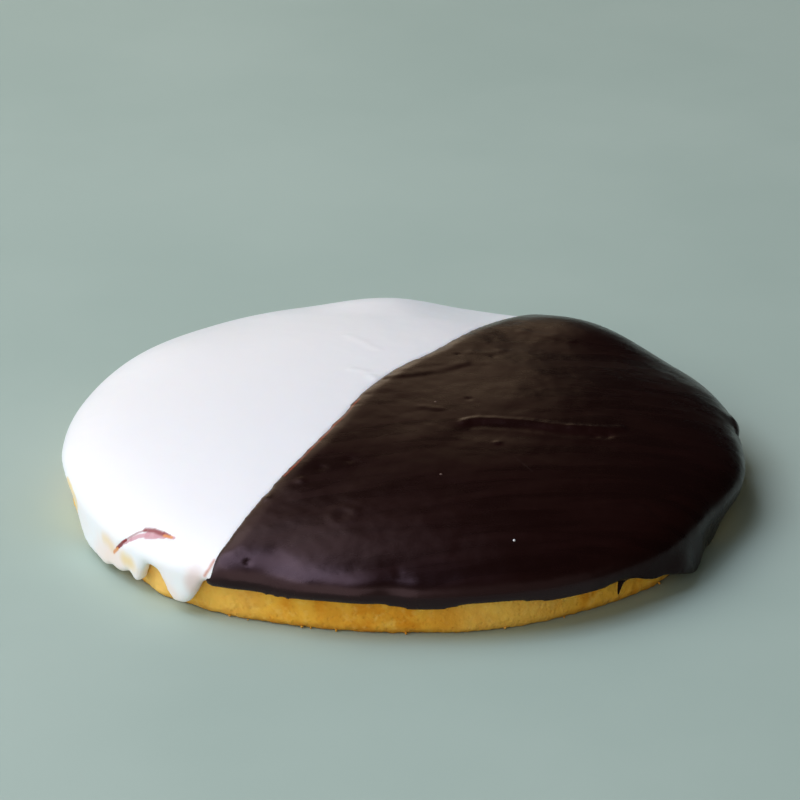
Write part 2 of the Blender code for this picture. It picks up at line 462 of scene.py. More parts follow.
def whole_icing():
    """Both icings as one open skin: the upper half of a flat ball, drawn down to the lip and its runs."""
    bpy.ops.object.select_all(action="DESELECT")
    bpy.ops.mesh.primitive_uv_sphere_add(
        segments=SEGMENTS, ring_count=RINGS, radius=RADIUS, location=(0, 0, WAIST)
    )
    obj = bpy.context.object
    bpy.ops.object.transform_apply(location=True, rotation=False, scale=False)
    edit(obj)
    bpy.ops.mesh.bisect(plane_co=(0, 0, WAIST - HAIR), plane_no=(0, 0, 1), clear_inner=True)
    bpy.ops.mesh.select_all(action="SELECT")
    rise = (HEIGHT - WAIST) / RADIUS
    bpy.ops.transform.resize(value=(1, 1, rise), center_override=(0, 0, WAIST))
    done()
    share = away_in_plan(places(obj), 0, 0) / RADIUS
    move(obj, np.abs(share - FLATTEN_AT) < FLATTEN_BAND, (0, 0, -FLATTEN), FLATTEN_REACH)
    swell_rim(obj, WAIST)
    for x, y, half_width, rise in DOME_SWELLS:
        move(obj, least(away_in_plan(places(obj), x, y)), (0, 0, rise), SOFT * half_width)
    hang_lip(obj)
    return obj


def hang_lip(obj):
    """Draws the open rim down to the lip, and lets the runs hang from it."""
    count = len(obj.data.vertices)
    edit(obj, kind="EDGE")
    bpy.ops.mesh.select_all(action="DESELECT")
    bpy.ops.mesh.select_non_manifold()
    bpy.ops.mesh.extrude_region_move(TRANSFORM_OT_translate={"value": (0, 0, -0.5 * MM)})
    tuck = 1 - LIP_TUCK / RADIUS
    bpy.ops.transform.resize(value=(tuck, tuck, 0), center_override=(0, 0, LIP_HEIGHT))
    done()
    lip = np.arange(len(obj.data.vertices)) >= count
    for bearing, half_width, drop, foot in RUNS:
        core = towards(obj, bearing, RUN_CORE * half_width) & lip
        move(obj, core, outward(bearing, foot, -drop), RUN_REACH * arc(half_width), shown=lip)
    for bearing, half_width, rise in LIFTS:
        core = towards(obj, bearing, RUN_CORE * half_width) & lip
        move(obj, core, (0, 0, rise), RUN_REACH * arc(half_width))
    low = lip & (places(obj)[:, 2] < LIP_LOWEST)
    if low.any():
        edit(obj, low)
        bpy.ops.transform.resize(value=(1, 1, 0), center_override=(0, 0, LIP_LOWEST))
        done()


def add_drip(obj):
    """Joins a thin tapered drip, with a fillet on its right, to the chocolate's lip."""
    bearing, top, foot, wide, narrow = DRIP
    middle = outward(bearing, RADIUS - DRIP_INSET, (top + foot) / 2)
    bpy.ops.object.select_all(action="DESELECT")
    bpy.ops.mesh.primitive_cone_add(
        vertices=24, radius1=narrow, radius2=wide, depth=top - foot, location=middle
    )
    drop = bpy.context.object
    bpy.ops.object.transform_apply(location=True, rotation=False, scale=False)
    edit(drop)
    bpy.ops.mesh.subdivide(number_cuts=6)
    done()
    at = places(drop)
    right = (at - np.array(middle)) @ np.array(outward(bearing + 90, 1)) > 0.2 * wide
    upper = at[:, 2] > top - MM
    move(drop, right & upper, outward(bearing + 90, DRIP_FILLET), 0.55 * (top - foot))
    use(obj)
    drop.select_set(True)
    bpy.ops.object.join()


def icing(whole, name, side, lap):
    """One icing: a copy of the whole skin, cut at the border, given its thickness and made soft."""
    obj = copy_of(whole, name)
    cut = BORDER_X + lap
    edit(obj)
    bpy.ops.mesh.bisect(plane_co=(cut, 0, 0), plane_no=(side, 0, 0), clear_inner=True)
    done()
    edge = np.abs(places(obj)[:, 0] - cut) < BORDER_EDGE
    for step, start, end, reach in BORDER_PUSHES:
        y = places(obj)[:, 1]
        core = edge & (y >= start) & (y <= end)
        move(obj, core, (step, 0, 0), SOFT * reach)
    if side > 0:
        upper = edge & (places(obj)[:, 2] > WAIST)
        move(obj, upper, (0, 0, BEAD), SOFT * BEAD_WIDTH)
        move(obj, nearest(obj, Vector(CORNER) * MM), CORNER_PUSH, CORNER_REACH)
    apply_modifier(obj, "SOLIDIFY", thickness=SKIN, offset=-1.0, use_even_offset=True)
    if side > 0:
        add_drip(obj)
    apply_modifier(obj, "REMESH", mode="VOXEL", voxel_size=VOXEL, use_smooth_shade=True)
    apply_modifier(obj, "SMOOTH", factor=0.5, iterations=SMOOTH_TURNS)
    at = places(obj)
    band = (np.abs(at[:, 0] - BORDER_X) < BORDER_BAND) | (at[:, 2] < LIP_BAND)
    edit(obj, band)
    bpy.ops.mesh.vertices_smooth(factor=0.5, repeat=SMOOTH_TURNS)
    done()
    keep_whole(obj)
    return obj


def keep_whole(obj):
    """Deletes the tiny loose bits that the voxels leave beside an icing."""
    height = places(obj)[:, 2]
    edit(obj, height == height.max())
    bpy.ops.mesh.select_linked()
    bpy.ops.mesh.select_all(action="INVERT")
    bpy.ops.mesh.delete(type="VERT")
    done()


def roll_edge(obj):
    """Rounds the chocolate down to the border, where it lies over the white as a soft bead."""
    at = places(obj)
    top = outer(obj) & (at[:, 2] > WAIST)
    stops = np.arange(-54, 56, 3) * MM
    edge = [at[top & (np.abs(at[:, 1] - stop) < 1.5 * MM), 0].min() for stop in stops]
    inward = at[:, 0] - np.interp(at[:, 1], stops, edge)
    move(obj, top & (inward < 0.3 * MM), (0, 0, -ROLL_FALL), ROLL_WIDTH)


def push_wall(obj, x, y, z, reach, step):
    """Swells or hollows the outer wall round one place."""
    at = places(obj)
    away = np.linalg.norm(at - np.array((x, y, z)) * MM, axis=1)
    away[~outer(obj)] = 1
    bearing = math.degrees(math.atan2(y, x))
    move(obj, least(away), outward(bearing, step), reach)


def mark_chocolate(obj):
    """The fold, creases, pits, bumps and bubble ring of the chocolate."""
    roll_edge(obj)
    for x, y, z, reach, step in WALL_WAVES:
        push_wall(obj, x, y, z, reach, step)
    for first, last, reach, rise in FOLD_CRESTS:
        crease(obj, FOLD[first:last], reach, rise)
    for right, front, reach, rise in FOLD_HOLLOWS:
        hollow = [(x + right, y + front) for x, y in FOLD[2:-1]]
        crease(obj, hollow, reach, rise)
    for stops, reach, rise in CHOCOLATE_CREASES:
        crease(obj, stops, reach, rise)
    for x, y, reach, rise in CHOCOLATE_SPOTS:
        spot(obj, x, y, reach, rise)
    x, y, radius, reach, rise = BUBBLE
    turns = [math.radians(turn) for turn in range(0, 361, 30)]
    ring = [(x + radius * math.cos(turn), y + radius * math.sin(turn)) for turn in turns]
    crease(obj, ring, reach, rise)


def mark_white(obj):
    """The tear, the creases and the bumps of the white icing."""
    at = places(obj)
    inside = np.zeros(len(at), bool)
    stops = [Vector(stop) * MM for stop in TEAR]
    for start, end, width in zip(stops, stops[1:], TEAR_WIDTH):
        inside |= on_line(at, (start, end), width * MM)
    move(obj, inside & outer(obj), -facing(*TEAR_FACES) * TEAR_DEPTH, TEAR_REACH)
    for stops, reach, rise in WHITE_CREASES:
        crease(obj, stops, reach, rise)


def draw_ring(before, radius, height):
    """Extrudes the selected ring to a new radius and height, and gives these back."""
    rise = height - before[1]
    bpy.ops.mesh.extrude_region_move(TRANSFORM_OT_translate={"value": (0, 0, rise)})
    grow = radius / before[0]
    bpy.ops.transform.resize(value=(grow, grow, 1), center_override=(0, 0, 0))
    return radius, height


def cake_rings():
    """Radius and height of the cake's rings, from the middle of its underside to near its top."""
    wall = CAKE_RADIUS - WALL_LEAN
    foot = wall - HEEL_INSET
    rings = [(foot * row / BOTTOM_ROWS, 0) for row in range(2, BOTTOM_ROWS + 1)]
    for row in range(1, HEEL_ROWS + 1):
        turn = math.pi / 2 * row / HEEL_ROWS
        rings.append((foot + HEEL_INSET * math.sin(turn), HEEL * (1 - math.cos(turn))))
    for row in range(1, WALL_ROWS + 1):
        share = row / WALL_ROWS
        rings.append((wall + WALL_LEAN * share, HEEL + (WAIST - HEEL) * share))
    for row in range(1, TOP_ROWS):
        turn = math.pi / 2 * row / TOP_ROWS
        rings.append((CAKE_RADIUS * math.cos(turn), WAIST + CAKE_RISE * math.sin(turn)))
    return rings


def cake_body():
    """The cake: drawn ring by ring from the middle of its flat underside, then pushed out of round."""
    bpy.ops.object.select_all(action="DESELECT")
    ring = (CAKE_RADIUS / BOTTOM_ROWS, 0)
    bpy.ops.mesh.primitive_circle_add(
        vertices=CAKE_SEGMENTS, radius=ring[0], fill_type="TRIFAN", location=(0, 0, 0)
    )
    obj = bpy.context.object
    obj.name = "cake_crumb"
    edit(obj, kind="EDGE")
    bpy.ops.mesh.select_all(action="DESELECT")
    bpy.ops.mesh.select_non_manifold()
    for radius, height in cake_rings():
        ring = draw_ring(ring, radius, height)
    bpy.ops.mesh.edge_face_add()
    bpy.ops.mesh.poke()
    bpy.ops.mesh.select_all(action="SELECT")
    bpy.ops.mesh.normals_make_consistent(inside=False)
    done()
    swell_rim(obj, WAIST / 2)
    for bearing, half_width, stands_out in FOOT_SWELLS:
        core = nearest(obj, outward(bearing, CAKE_RADIUS))
        move(obj, core, outward(bearing, stands_out), SOFT * arc(half_width))
    return obj


def texture_relief(obj, group, kind, grain, depth, middle):
    """Raises and sinks a group of points by a cloudy or grainy pattern."""
    pattern = bpy.data.textures.new(kind.lower(), kind)
    pattern.noise_scale = grain
    apply_modifier(
        obj,
        "DISPLACE",
        texture=pattern,
        texture_coords="LOCAL",
        strength=depth,
        mid_level=middle,
        vertex_group=group,
    )


def crumb_relief(obj):
    """Crumb and small hollows in the cake's side and its underside, which stays flat where it stands."""
    at = places(obj)
    flat = at[:, 2] < HAIR
    rim = away_in_plan(at, 0, 0) > 0.9 * RADIUS
    wall = (at[:, 2] <= WAIST + MM) & ((at[:, 2] > HAIR) | rim)
    for name, wanted in (("side", wall), ("under", flat)):
        group = obj.vertex_groups.new(name=name)
        group.add([int(i) for i in np.nonzero(wanted)[0]], 1.0, "REPLACE")
    for relief in SIDE_RELIEF:
        texture_relief(obj, "side", *relief)
    texture_relief(obj, "under", *UNDERSIDE_RELIEF)
    edit(obj, places(obj)[:, 2] < 0)
    bpy.ops.transform.resize(value=(1, 1, 0), center_override=(0, 0, 0))
    done()
    obj.vertex_groups.clear()
    use(obj)
    bpy.ops.object.shade_smooth()


def first_grain():
    """A small uneven lump of radius 1 mm."""
    bpy.ops.object.select_all(action="DESELECT")
    bpy.ops.mesh.primitive_ico_sphere_add(subdivisions=2, radius=MM, location=(0, 0, 0))
    grain = bpy.context.object
    chance = random.Random(CRUMB_SEED)
    edit(grain, np.array([chance.random() < 0.3 for _ in grain.data.vertices]))
    bpy.ops.transform.shrink_fatten(value=0.35 * MM)
    bpy.ops.mesh.select_all(action="SELECT")
    bpy.ops.mesh.vertices_smooth(factor=0.5)
    bpy.ops.transform.resize(value=(1.15, 0.9, 0.75), center_override=(0, 0, 0))
    done()
    return grain


def add_grain(grain, place, size, chance):
    """A copy of the first lump, turned by chance and put in its place."""
    twin = copy_of(grain, "grain")
    twin.rotation_euler = [chance.uniform(0, 2 * math.pi) for _ in range(3)]
    twin.scale = [size / MM * chance.uniform(0.75, 1.1) for _ in range(3)]
    twin.location = place
    return twin


def joined_grains(name, grains):
    """Joins small lumps to one piece, with its origin at the cookie's."""
    bpy.ops.object.select_all(action="DESELECT")
    for grain in grains:
        grain.select_set(True)
    bpy.context.view_layer.objects.active = grains[0]
    bpy.ops.object.join()
    bpy.ops.object.transform_apply(location=True, rotation=True, scale=True)
    bpy.ops.object.shade_smooth()
    grains[0].name = name
    return grains[0]


def foot_crumbs(grain, cake):
    """Crumbs that cling to the cake's foot."""
    at = places(cake)
    low = at[(at[:, 2] > CRUMB_HEIGHTS[0]) & (at[:, 2] < CRUMB_HEIGHTS[1])]
    bearings = np.degrees(np.arctan2(low[:, 1], low[:, 0]))
    chance = random.Random(CRUMB_SEED)
    grains = []
    for bearing in CRUMB_BEARINGS:
        size = chance.uniform(*CRUMB_SIZES)
        foot = low[np.abs(bearings - bearing) < 0.5]
        reach = float(np.hypot(foot[:, 0], foot[:, 1]).max()) + chance.uniform(-0.2, 0.5) * size
        grains.append(add_grain(grain, outward(bearing, reach, 1.2 * size), size, chance))
    return joined_grains("foot_crumbs", grains)


def sugar_specks(grain, under):
    """Specks of dried icing, half sunk in the chocolate."""
    chance = random.Random(CRUMB_SEED)
    at = places(under)[outer(under)]
    grains = []
    for x, y, size in SPECKS:
        place = [float(v) for v in at[away_in_plan(at, x, y).argmin()]]
        grains.append(add_grain(grain, place, size, chance))
    return joined_grains("sugar_specks", grains)


def add_camera():
    """The camera at the photograph's angle."""
    across = (AIM_PIXEL[0] - PICTURE / 2) / FOCAL_PIXELS
    down = (AIM_PIXEL[1] - PICTURE / 2) / FOCAL_PIXELS
    pitch = ELEVATION - math.atan(down)
    turn = Euler((math.pi / 2 - pitch, 0, AZIMUTH))
    ray = turn.to_matrix() @ Vector((across, -down, -1))
    data = bpy.data.cameras.new("camera")
    data.sensor_width = SENSOR
    data.lens = FOCAL_PIXELS * SENSOR / PICTURE
    camera = bpy.data.objects.new("camera", data)
    camera.location = AIM - ray * DISTANCE
    camera.rotation_euler = turn
    bpy.context.scene.collection.objects.link(camera)
    bpy.context.scene.camera = camera


def linear(red, green, blue):
    """A colour as a picture gives it, 0 to 255, in the light's own scale."""
    shares = (red / 255, green / 255, blue / 255)
    return tuple(s / 12.92 if s <= 0.04045 else ((s + 0.055) / 1.055) ** 2.4 for s in shares) + (1,)


def add(tree, kind, **settings):
    """A node with these settings."""
    made = tree.nodes.new(kind)
    for name, value in settings.items():
        setattr(made, name, value)
    return made


def link(tree, source, target):
    """Joins an output to an input."""
    tree.links.new(source, target)


def joined(tree, kind, inputs, **settings):
    """A node with its inputs given, by number or name, as values or as outputs to link."""
    made = add(tree, kind, **settings)
    for name, value in inputs.items():
        if isinstance(value, bpy.types.NodeSocket):
            link(tree, value, made.inputs[name])
        else:
            made.inputs[name].default_value = value
    return made


def placed(tree, group, **inputs):
    """The outputs of a group's node, with its inputs given as values or outputs."""
    return joined(tree, "ShaderNodeGroup", inputs, node_tree=group).outputs


def food(name, values):
    """A material, its Principled shader with these values, and its Object coordinates in mm."""
    material = bpy.data.materials.new(name)
    material.use_nodes = True
    tree = material.node_tree
    shader = tree.nodes["Principled BSDF"]
    for socket, value in values.items():
        shader.inputs[socket].default_value = value
    place = add(tree, "ShaderNodeTexCoord").outputs["Object"]
    values = {"Vector": place, "Scale": (1 / MM, 1 / MM, 1 / MM)}
    return material, tree, shader, joined(tree, "ShaderNodeMapping", values).outputs["Vector"]


def new_group(name, inputs, outputs):
    """A shader node group with named sockets, and its two end nodes."""
    tree = bpy.data.node_groups.new(name, "ShaderNodeTree")
    for label, value in inputs.items():
        kind = "NodeSocketVector" if isinstance(value, tuple) else "NodeSocketFloat"
        socket = tree.interface.new_socket(name=label, in_out="INPUT", socket_type=kind)
        socket.default_value = value
    for label in outputs:
        tree.interface.new_socket(name=label, in_out="OUTPUT", socket_type="NodeSocketFloat")
    return tree, add(tree, "NodeGroupInput"), add(tree, "NodeGroupOutput")


def maths(tree, operation, *values):
    """The result of a Math node."""
    return joined(tree, "ShaderNodeMath", dict(enumerate(values)), operation=operation).outputs[0]


def vectors(tree, operation, *values):
    """A Vector Math node."""
    return joined(tree, "ShaderNodeVectorMath", dict(enumerate(values)), operation=operation)


def noise(tree, place, scale, detail=2.0, rough=0.5, warp=0.0):
    """The value of a Noise texture."""
    values = {"Vector": place, "Scale": scale, "Detail": detail, "Roughness": rough, "Distortion": warp}
    return joined(tree, "ShaderNodeTexNoise", values).outputs["Fac"]


def ranged(tree, value, low, high, start=0.0, end=1.0):
    """A value spread smoothly from one range over another."""
    values = {"Value": value, "From Min": low, "From Max": high, "To Min": start, "To Max": end}
    made = joined(tree, "ShaderNodeMapRange", values, interpolation_type="SMOOTHSTEP")
    return made.outputs["Result"]


def clamped(tree, value):
    """A value held between 0 and 1."""
    return joined(tree, "ShaderNodeClamp", {"Value": value}).outputs[0]


def blended(tree, mask, below, above):
    """One colour over another where the mask is 1."""
    values = {"Factor": mask, 6: below, 7: above}
    return joined(tree, "ShaderNodeMix", values, data_type="RGBA").outputs[2]


def height_of(tree, place):
    """The height of a place."""
    return joined(tree, "ShaderNodeSeparateXYZ", {"Vector": place}).outputs["Z"]


def scaled(tree, way, length):
    """A direction, drawn out to a length."""
    return joined(tree, "ShaderNodeVectorMath", {0: way, "Scale": length}, operation="SCALE").outputs[0]


def line_mask_group():
    """1 near a straight line between two points, with a ragged edge, else 0."""
    inputs = {"Vector": (0.0, 0.0, 0.0), "Start": (0.0, 0.0, 0.0), "End": (1.0, 0.0, 0.0)}
    inputs.update({"Reach": 0.5, "Softness": 0.3, "Ragged": 0.0})
    tree, into, out = new_group("line_mask", inputs, ["Mask"])
    run = vectors(tree, "SUBTRACT", into.outputs["End"], into.outputs["Start"]).outputs[0]
    away = vectors(tree, "SUBTRACT", into.outputs["Vector"], into.outputs["Start"]).outputs[0]
    across = vectors(tree, "DOT_PRODUCT", away, run).outputs["Value"]
    whole = vectors(tree, "DOT_PRODUCT", run, run).outputs["Value"]
    foot = scaled(tree, run, clamped(tree, maths(tree, "DIVIDE", across, whole)))
    distance = vectors(tree, "DISTANCE", away, foot).outputs["Value"]
    grain = maths(tree, "SUBTRACT", noise(tree, into.outputs["Vector"], 1.3), 0.5)
    ragged = maths(tree, "MULTIPLY", grain, into.outputs["Ragged"])
    distance = maths(tree, "ADD", distance, ragged)
    low = maths(tree, "SUBTRACT", into.outputs["Reach"], into.outputs["Softness"])
    high = maths(tree, "ADD", into.outputs["Reach"], into.outputs["Softness"])
    link(tree, ranged(tree, distance, low, high, 1.0, 0.0), out.inputs["Mask"])
    return tree


def patch_mask_group():
    """1 inside an egg-shaped patch with a ragged, soft edge, else 0."""
    inputs = {"Vector": (0.0, 0.0, 0.0), "Centre": (0.0, 0.0, 0.0), "Size": (1.0, 1.0, 1.0)}
    inputs.update({"Softness": 0.3, "Ragged": 0.3})
    tree, into, out = new_group("patch_mask", inputs, ["Mask"])
    away = vectors(tree, "SUBTRACT", into.outputs["Vector"], into.outputs["Centre"]).outputs[0]
    away = vectors(tree, "DIVIDE", away, into.outputs["Size"]).outputs[0]
    distance = vectors(tree, "LENGTH", away).outputs["Value"]
    grain = maths(tree, "SUBTRACT", noise(tree, into.outputs["Vector"], 0.6, 3.0), 0.5)
    ragged = maths(tree, "MULTIPLY", grain, into.outputs["Ragged"])
    distance = maths(tree, "ADD", distance, ragged)
    low = maths(tree, "SUBTRACT", 1.0, into.outputs["Softness"])
    high = maths(tree, "ADD", 1.0, into.outputs["Softness"])
    link(tree, ranged(tree, distance, low, high, 1.0, 0.0), out.inputs["Mask"])
    return tree


def speck_mask_group():
    """1 on small round specks, which a share of the cells of a loose grid hold, else 0."""
    inputs = {"Vector": (0.0, 0.0, 0.0), "Spacing": 3.0, "Radius": 0.2, "Share": 0.3}
    tree, into, out = new_group("speck_mask", inputs, ["Mask"])
    scale = maths(tree, "DIVIDE", 1.0, into.outputs["Spacing"])
    cells = joined(tree, "ShaderNodeTexVoronoi", {"Vector": into.outputs["Vector"], "Scale": scale})
    reach = maths(tree, "MULTIPLY", into.outputs["Radius"], scale)
    dot = ranged(tree, cells.outputs["Distance"], maths(tree, "MULTIPLY", reach, 0.4), reach, 1.0, 0.0)
    chance = joined(tree, "ShaderNodeSeparateColor", {"Color": cells.outputs["Color"]}).outputs[0]
    held = maths(tree, "LESS_THAN", chance, into.outputs["Share"])
    link(tree, maths(tree, "MULTIPLY", dot, held), out.inputs["Mask"])
    return tree


def set_icing_group():
    """The surface of set icing: soft lumps, spatula strokes and a fine skin, as one height in mm."""
    inputs = {"Vector": (0.0, 0.0, 0.0), "Lumps": 0.1, "Strokes": 0.05, "Skin": 0.01}
    tree, into, out = new_group("set_icing", inputs, ["Height", "Stroke"])
    place = into.outputs["Vector"]
    lumps = maths(tree, "MULTIPLY", noise(tree, place, 0.13, 2.0), into.outputs["Lumps"])
    drawn = joined(
        tree,
        "ShaderNodeMapping",
        {"Vector": place, "Rotation": (0.0, 0.0, STROKE_TURN), "Scale": STROKE_SIZE},
        vector_type="TEXTURE",
    ).outputs["Vector"]
    stroke = noise(tree, drawn, 1.0, 3.0, 0.5, 0.4)
    strokes = maths(tree, "MULTIPLY", stroke, into.outputs["Strokes"])
    skin = maths(tree, "MULTIPLY", noise(tree, place, 1.6, 3.0), into.outputs["Skin"])
    height = maths(tree, "ADD", maths(tree, "ADD", lumps, strokes), skin)
    link(tree, height, out.inputs["Height"])
    link(tree, stroke, out.inputs["Stroke"])
    return tree


def crumb_group():
    """The crumb of baked cake: a height in mm, a browned share and a share of fine pores."""
    inputs = {"Vector": (0.0, 0.0, 0.0), "Grain": 0.8, "Depth": 0.1}
    tree, into, out = new_group("baked_crumb", inputs, ["Height", "Browned", "Pores"])
    place = into.outputs["Vector"]
    scale = maths(tree, "DIVIDE", 1.0, into.outputs["Grain"])
    grain = noise(tree, place, scale, 4.0, 0.6)
    cells = joined(tree, "ShaderNodeTexVoronoi", {"Vector": place, "Scale": scale}).outputs["Distance"]
    pores = ranged(tree, cells, 0.1, 0.45, 1.0, 0.0)
    height = maths(tree, "SUBTRACT", grain, maths(tree, "MULTIPLY", pores, 0.5))
    link(tree, maths(tree, "MULTIPLY", height, into.outputs["Depth"]), out.inputs["Height"])
    browned = ranged(tree, noise(tree, place, 0.22, 3.0), 0.4, 0.68)
    link(tree, browned, out.inputs["Browned"])
    link(tree, pores, out.inputs["Pores"])
    return tree


def line_mask(tree, place, stops, reach, softness, ragged):
    """The mask of a line through several stops."""
    mask = None
    for start, end in zip(stops, stops[1:]):
        values = {"Start": start, "End": end, "Reach": reach, "Softness": softness, "Ragged": ragged}
        part = placed(tree, LINE_MASK, Vector=place, **values)["Mask"]
        mask = part if mask is None else maths(tree, "MAXIMUM", mask, part)
    return mask


def tinted(tree, colour, mask, share, tint):
    """A colour with a share of a tint over it where the mask is 1."""
    return blended(tree, maths(tree, "MULTIPLY", mask, share), colour, tint)


def with_lines(tree, place, colour, lines, ragged):
    """A colour with the coloured lines of a table over it."""
    for stops, reach, softness, tint, share in lines:
        mask = line_mask(tree, place, stops, reach, softness, ragged)
        colour = tinted(tree, colour, mask, share, tint)
    return colour


def with_patches(tree, place, colour, patches):
    """A colour with the coloured patches of a table over it."""
    for centre, size, softness, tint, share in patches:
        mask = placed(tree, PATCH_MASK, Vector=place, Centre=centre, Size=size, Softness=softness)["Mask"]
        colour = tinted(tree, colour, mask, share, tint)
    return colour


def bump(tree, shader, height):
    """Feeds a height in mm to a shader's normal."""
    made = joined(tree, "ShaderNodeBump", {"Height": height, "Distance": MM})
    link(tree, made.outputs["Normal"], shader.inputs["Normal"])


def pressed(tree, place, way):
    """A place moved along a direction onto the plane through the origin that faces that way."""
    away = vectors(tree, "DOT_PRODUCT", place, tuple(way)).outputs["Value"]
    return vectors(tree, "SUBTRACT", place, scaled(tree, tuple(way), away)).outputs[0]


def pressed_stops(stops, way):
    """Stops of a line, moved in the same manner."""
    stops = [Vector(stop) for stop in stops]
    return [tuple(stop - way * stop.dot(way)) for stop in stops]


def sugar_material():
    """White sugar icing: faintly creamy where it is thin, with the cake's colours, and with painted shade
    in pink and red in its tear.
    """
    material, tree, shader, place = food("white_sugar", SUGAR_SHADER)
    surface = placed(tree, SET_ICING, Vector=place, Lumps=0.15, Strokes=0.0, Skin=0.004)
    thin = ranged(tree, height_of(tree, place), *THIN_HEIGHTS)
    cloudy = ranged(tree, noise(tree, place, 0.09, 2.0), *THIN_LEVELS)
    colour = tinted(tree, SUGAR, thin, cloudy, THIN_SUGAR)
    colour = with_patches(tree, place, colour, SUGAR_PATCHES)
    colour = with_lines(tree, place, colour, SUGAR_LINES, 0.3)
    # Painted shade in pink and red inside the tear, and the cake's orange at its ends
    way = facing(*TEAR_FACES)
    lines = [(pressed_stops(stops, way), *look) for stops, *look in TEAR_LINES]
    colour = with_lines(tree, pressed(tree, place, way), colour, lines, 0.15)
    link(tree, colour, shader.inputs["Base Color"])
    rough = ranged(tree, surface["Stroke"], *STROKE_LEVELS, *SUGAR_ROUGHNESS)
    link(tree, rough, shader.inputs["Roughness"])
    bump(tree, shader, surface["Height"])
    return material


def cocoa_material():
    """Dark chocolate icing: nearly black brown, satin, with strokes, scratches and pale specks."""
    material, tree, shader, place = food("dark_chocolate", COCOA_SHADER)
    dull = placed(tree, PATCH_MASK, Vector=place, Centre=DULL_MIDDLE, Size=DULL_SIZE, Softness=0.4)["Mask"]
    link(tree, ranged(tree, dull, 0.0, 1.0, *COCOA_SHINE), shader.inputs["Specular IOR Level"])
    surface = placed(tree, SET_ICING, Vector=place, Lumps=0.3, Strokes=0.009, Skin=0.008)
    colour = blended(tree, ranged(tree, surface["Stroke"], *COCOA_LEVELS), COCOA, COCOA_LIGHT)
    specks = placed(tree, SPECK_MASK, Vector=place, Spacing=6.0, Radius=0.28, Share=0.25)["Mask"]
    colour = tinted(tree, colour, specks, SPECK_SHARE, COCOA_SPECK)
    colour = with_lines(tree, place, colour, COCOA_LINES, 0.2)
    link(tree, colour, shader.inputs["Base Color"])
    rough = ranged(tree, surface["Stroke"], *STROKE_LEVELS, *COCOA_ROUGHNESS)
    link(tree, rough, shader.inputs["Roughness"])
    raised = maths(tree, "MULTIPLY", specks, SPECK_HEIGHT)
    bump(tree, shader, maths(tree, "ADD", surface["Height"], raised))
    return material


def crumb_material():
    """Golden cake: browner in patches and at its foot, plainly baked below, with painted shade in its
    pores and a painted pool of light on its bare patch.
    """
    material, tree, shader, place = food("golden_cake", CRUMB_SHADER)
    crumb = placed(tree, CRUMB, Vector=place, Grain=0.9, Depth=0.14)
    colour = blended(tree, crumb["Browned"], CRUST, CRUST_BROWN)
    low = ranged(tree, height_of(tree, place), *FOOT_HEIGHTS)
    colour = tinted(tree, colour, low, FOOT_SHARE, CRUST_DARK)
    # Painted shade: the pores darkened where shade falls in them
    colour = tinted(tree, colour, crumb["Pores"], PORE_SHADE_SHARE, CRUST_DARK)
    pale = ranged(tree, noise(tree, place, 0.7, 3.0), *PALE_LEVELS)
    colour = tinted(tree, colour, pale, PALE_SHARE, CRUST_PALE)
    colour = with_patches(tree, place, colour, CRUST_PATCHES)
    link(tree, colour, shader.inputs["Base Color"])
    bump(tree, shader, crumb["Height"])
    return material


def floor_material():
    """Pale matt floor with the faintest of clouds."""
    material, tree, shader, place = food("pale_floor", FLOOR_SHADER)
    clouds = ranged(tree, noise(tree, place, 0.012, 4.0), *FLOOR_LEVELS)
    link(tree, blended(tree, clouds, FLOOR, FLOOR_DARK), shader.inputs["Base Color"])
    return material


def finish_piece(obj, material, node=None):
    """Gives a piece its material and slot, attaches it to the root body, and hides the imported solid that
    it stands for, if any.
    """
    obj.data.materials.clear()
    obj.data.materials.append(material)
    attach(obj, "root")
    if node:
        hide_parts(node)


def soft_light(name, bearing, height, size, power, colour):
    """A soft rectangular light that faces the cookie."""
    data = bpy.data.lights.new(name, "AREA")
    data.shape = "RECTANGLE"
    data.size, data.size_y = size
    data.energy = power
    data.color = colour
    lamp = bpy.data.objects.new(name, data)
    away = facing(bearing, height)
    lamp.location = away * LIGHT_DISTANCE
    lamp.rotation_euler = away.to_track_quat("Z", "Y").to_euler()
    bpy.context.scene.collection.objects.link(lamp)


def studio():
    """A plain pale floor, soft lights and a dim pale room."""
    bpy.ops.object.select_all(action="DESELECT")
    bpy.ops.mesh.primitive_plane_add(size=FLOOR_SIZE, location=(0, 0, 0))
    floor = bpy.context.object
    floor.name = "floor"
    floor.data.materials.append(floor_material())
    for values in LIGHTS:
        soft_light(*values)
    world = bpy.data.worlds.new("room")
    world.use_nodes = True
    sky = world.node_tree.nodes["Background"]
    sky.inputs["Color"].default_value = ROOM_COLOUR
    sky.inputs["Strength"].default_value = ROOM_STRENGTH
    bpy.context.scene.world = world
    bpy.context.scene.view_settings.view_transform = "Standard"


# Colours
SUGAR = linear(251, 252, 252)
THIN_SUGAR = linear(255, 230, 217)
GLAZE = linear(250, 214, 130)
# Painted shade: the pink of the shaded inside of the tear, and the red of the deeper shade at its edge
TEAR_SHADE_PINK = linear(208, 150, 158)
TEAR_DEEP_SHADE_RED = linear(140, 0, 0)
TEAR_ORANGE = linear(228, 140, 40)
CAKE_GLOW = linear(196, 98, 30)
COCOA = linear(23, 8, 6)
COCOA_LIGHT = linear(28, 10, 7)
COCOA_SPECK = linear(120, 100, 92)
COCOA_RED = linear(120, 36, 28)
COCOA_THIN = linear(176, 66, 44)
CRUST = linear(250, 186, 62)
CRUST_BROWN = linear(234, 154, 30)
CRUST_DARK = linear(176, 110, 34)
CRUST_PALE = linear(255, 204, 100)
# Painted light: the bare cake beside the white icing's skirt, made lighter to stand for the light that
# falls on it
BARE_CAKE_PAINTED_LIGHT = linear(255, 206, 112)
FLOOR = linear(176, 196, 184)
FLOOR_DARK = linear(169, 190, 178)

